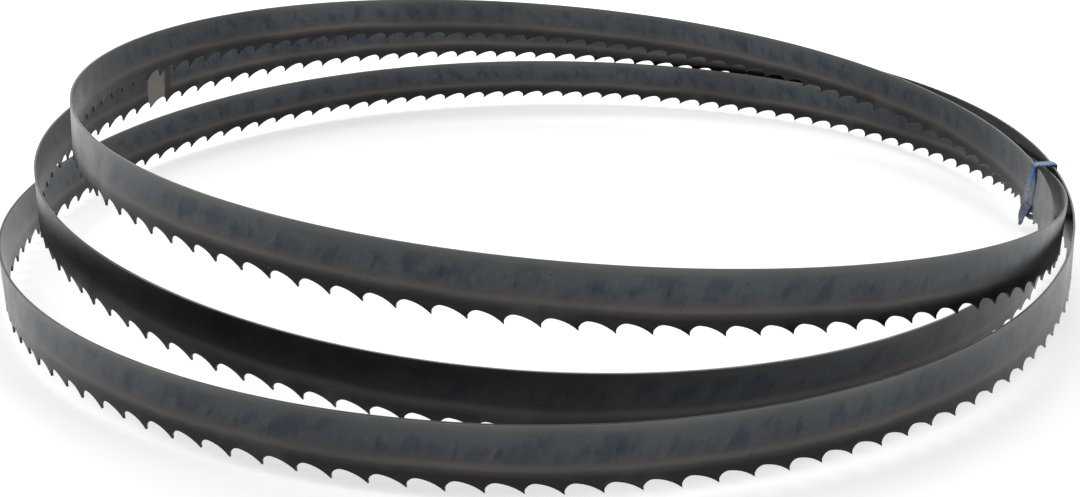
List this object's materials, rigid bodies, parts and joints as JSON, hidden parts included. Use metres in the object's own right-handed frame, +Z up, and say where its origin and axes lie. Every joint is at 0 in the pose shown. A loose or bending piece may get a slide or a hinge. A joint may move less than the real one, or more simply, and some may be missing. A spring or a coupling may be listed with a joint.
{
  "type": "band saw blade",
  "caption": "Endless toothed steel band, folded into a coil of loops that stands on its teeth and is held by a wrap of film at one end.",
  "frame": {"origin": "on the table, under the middle of the coil's bounding box", "axes": "+Z up, from the teeth towards the back edge of the band; -Y towards the viewer of the picture; +X towards the tied end"},
  "size_m": [0.3269, 0.344, 0.053],
  "materials": {
    "blade_steel": "hardened and tempered dark steel with blue and straw temper colours",
    "tie_film": "translucent blue film"
  },
  "bodies": {
    "root": {"blade": "blade_steel", "film_tie": "tie_film"}
  },
  "joints": []
}
